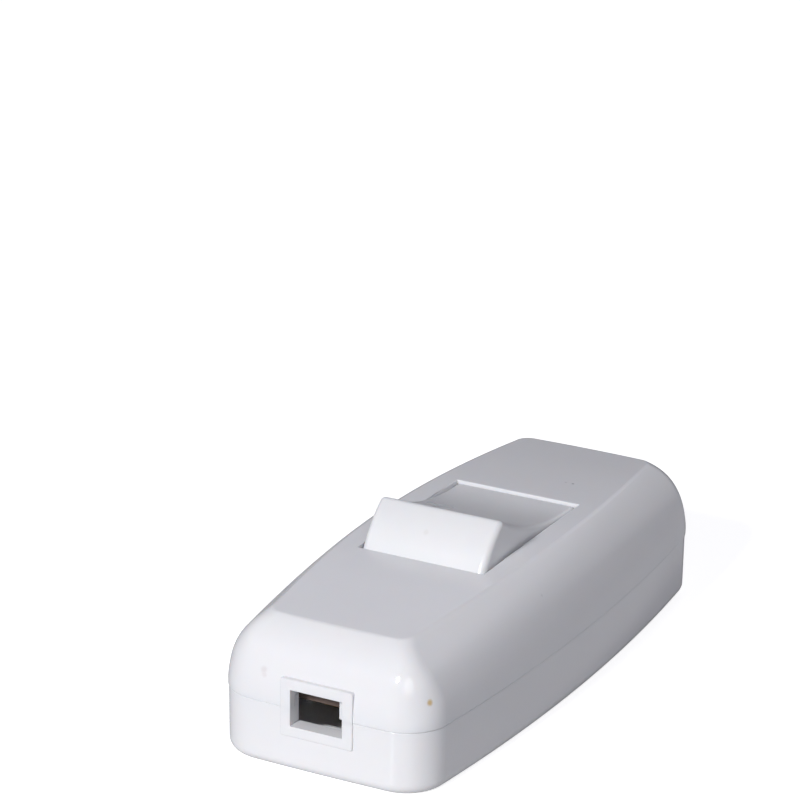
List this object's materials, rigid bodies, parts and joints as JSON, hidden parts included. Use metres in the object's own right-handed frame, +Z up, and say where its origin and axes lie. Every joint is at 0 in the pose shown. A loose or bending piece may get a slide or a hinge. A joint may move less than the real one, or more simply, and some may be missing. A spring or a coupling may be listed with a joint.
{
  "type": "inline cord switch",
  "caption": "Inline cord switch: slim bowed housing with a crowned cover, a dished rocker with an oval marker inlay, and a rimmed cord inlet at each end.",
  "frame": {"origin": "centre of the base's flat underside", "axes": "+X along the cord's run, away from the raised and marked half of the rocker; +Z up through the rocker; +Y across, towards the line-in terminal"},
  "size_m": [0.0864, 0.0366, 0.0263],
  "materials": {
    "cover_plastic": "glossy moulded white",
    "base_plastic": "glossy moulded white",
    "rocker_plastic": "satin moulded white, a little warmer than the cover",
    "marker_plastic": "light green moulded inlay",
    "plunger_plastic": "natural nylon",
    "spring_steel": "drawn wire",
    "lever_brass": "stamped strip",
    "contact_silver": "dull silver contact button",
    "strip_brass": "stamped strip",
    "terminal_brass": "machined block",
    "plated_steel": "zinc-plated",
    "clamp_fibre": "dark brown vulcanised fibre"
  },
  "bodies": {
    "housing": {"top_cover": "cover_plastic", "base_housing": "base_plastic", "fixed_contact": "contact_silver", "fulcrum_strip": "strip_brass", "line_out_strip": "strip_brass", "line_in_terminal": "terminal_brass", "line_out_terminal": "terminal_brass", "neutral_terminal": "terminal_brass", "terminal_screws": "plated_steel", "cord_clamp_in": "clamp_fibre", "cord_clamp_out": "clamp_fibre", "clamp_screws": "plated_steel", "case_screws": "plated_steel", "case_nuts": "plated_steel"},
    "rocker": {"rocker": "rocker_plastic", "marker_inlay": "marker_plastic", "plunger_spring": "spring_steel"},
    "plunger": {"plunger": "plunger_plastic"},
    "lever": {"contact_lever": "lever_brass", "lever_contact": "contact_silver"}
  },
  "joints": [
    {"name": "rocker_tilt", "type": "hinge", "parent": "housing", "child": "rocker", "pos_m": [0, 0, 0.013], "axis": [0, -1, 0], "range_deg": [0, 28.2]},
    {"name": "lever_tilt", "type": "hinge", "parent": "housing", "child": "lever", "pos_m": [0, 0, 0.0056], "axis": [0, 1, 0], "range_deg": [0, 19]},
    {"name": "plunger_slide", "type": "slide", "parent": "rocker", "child": "plunger", "axis": [0.2436, 0, 0.9699], "range_m": [0, 0.0012], "stiffness_N_per_m": 300, "springref_m": -0.002, "deforming": ["plunger_spring"]}
  ],
  "couplings": [
    {"joint": "lever_tilt", "follows": "rocker_tilt", "ratio": 0.673}
  ]
}
